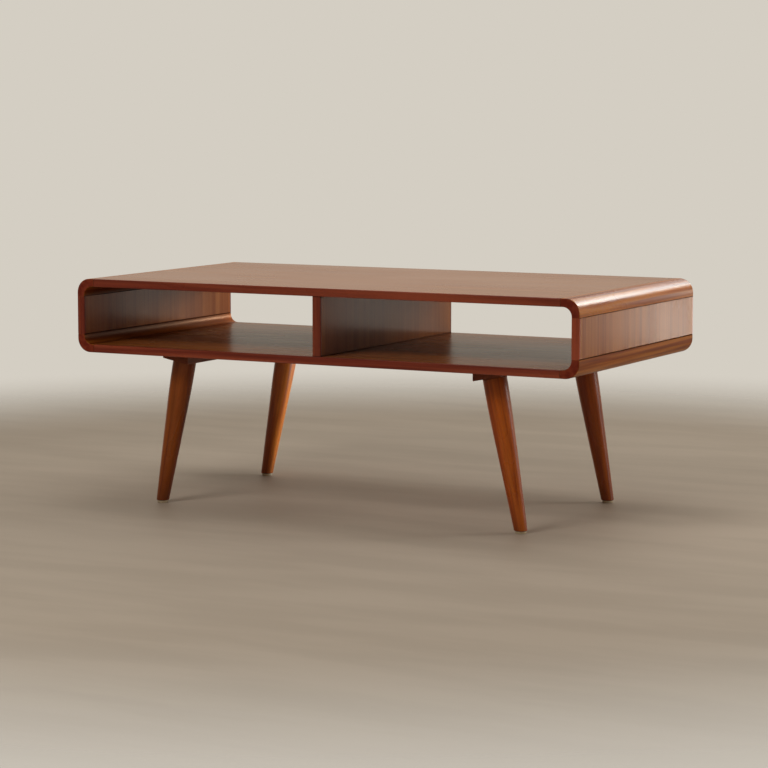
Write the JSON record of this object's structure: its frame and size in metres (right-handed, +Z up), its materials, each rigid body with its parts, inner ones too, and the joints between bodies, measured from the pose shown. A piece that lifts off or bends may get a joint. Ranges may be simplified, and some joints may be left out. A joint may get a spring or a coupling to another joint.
{
  "type": "storage coffee table",
  "caption": "Low wooden coffee table: an open flat case with rounded corners and a centre divider, on round tapered splayed legs, for books and trays.",
  "frame": {"origin": "on the floor under the middle of the table", "axes": "+X along the width towards the right end, -Y towards the front, +Z up"},
  "size_m": [1.1, 0.57, 0.455],
  "materials": {
    "veneered_board": "reddish-brown stained veneer on board, satin lacquer",
    "solid_wood": "reddish-brown stained solid hardwood, satin-gloss lacquer",
    "leg_wood": "reddish-brown stained turned hardwood, satin lacquer",
    "rail_wood": "dark brown stained hardwood, matt",
    "dowel_wood": "bare beech",
    "glide_plastic": "pale moulded plastic",
    "insert_brass": "plain turned brass",
    "zinc_steel": "zinc-plated steel"
  },
  "bodies": {
    "root": {"back_left_glide": "glide_plastic", "back_left_leg": "leg_wood", "back_right_glide": "glide_plastic", "back_right_leg": "leg_wood", "centre_divider": "veneered_board", "corner_bottom_left": "solid_wood", "corner_bottom_right": "solid_wood", "corner_top_left": "solid_wood", "corner_top_right": "solid_wood", "divider_back_lipping": "solid_wood", "divider_dowels": "dowel_wood", "divider_front_lipping": "solid_wood", "divider_screws": "zinc_steel", "end_joint_dowels": "dowel_wood", "front_left_glide": "glide_plastic", "front_left_leg": "leg_wood", "front_right_glide": "glide_plastic", "front_right_leg": "leg_wood", "glide_nails": "zinc_steel", "left_end_back_lipping": "solid_wood", "left_end_front_lipping": "solid_wood", "left_end_panel": "veneered_board", "left_leg_rail": "rail_wood", "leg_bolt_inserts": "insert_brass", "leg_hanger_bolts": "zinc_steel", "rail_screws": "zinc_steel", "right_end_back_lipping": "solid_wood", "right_end_front_lipping": "solid_wood", "right_end_panel": "veneered_board", "right_leg_rail": "rail_wood", "shelf_back_lipping": "solid_wood", "shelf_front_lipping": "solid_wood", "shelf_joint_dowels": "dowel_wood", "shelf_panel": "veneered_board", "top_back_lipping": "solid_wood", "top_front_lipping": "solid_wood", "top_joint_dowels": "dowel_wood", "top_panel": "veneered_board"}
  },
  "joints": []
}
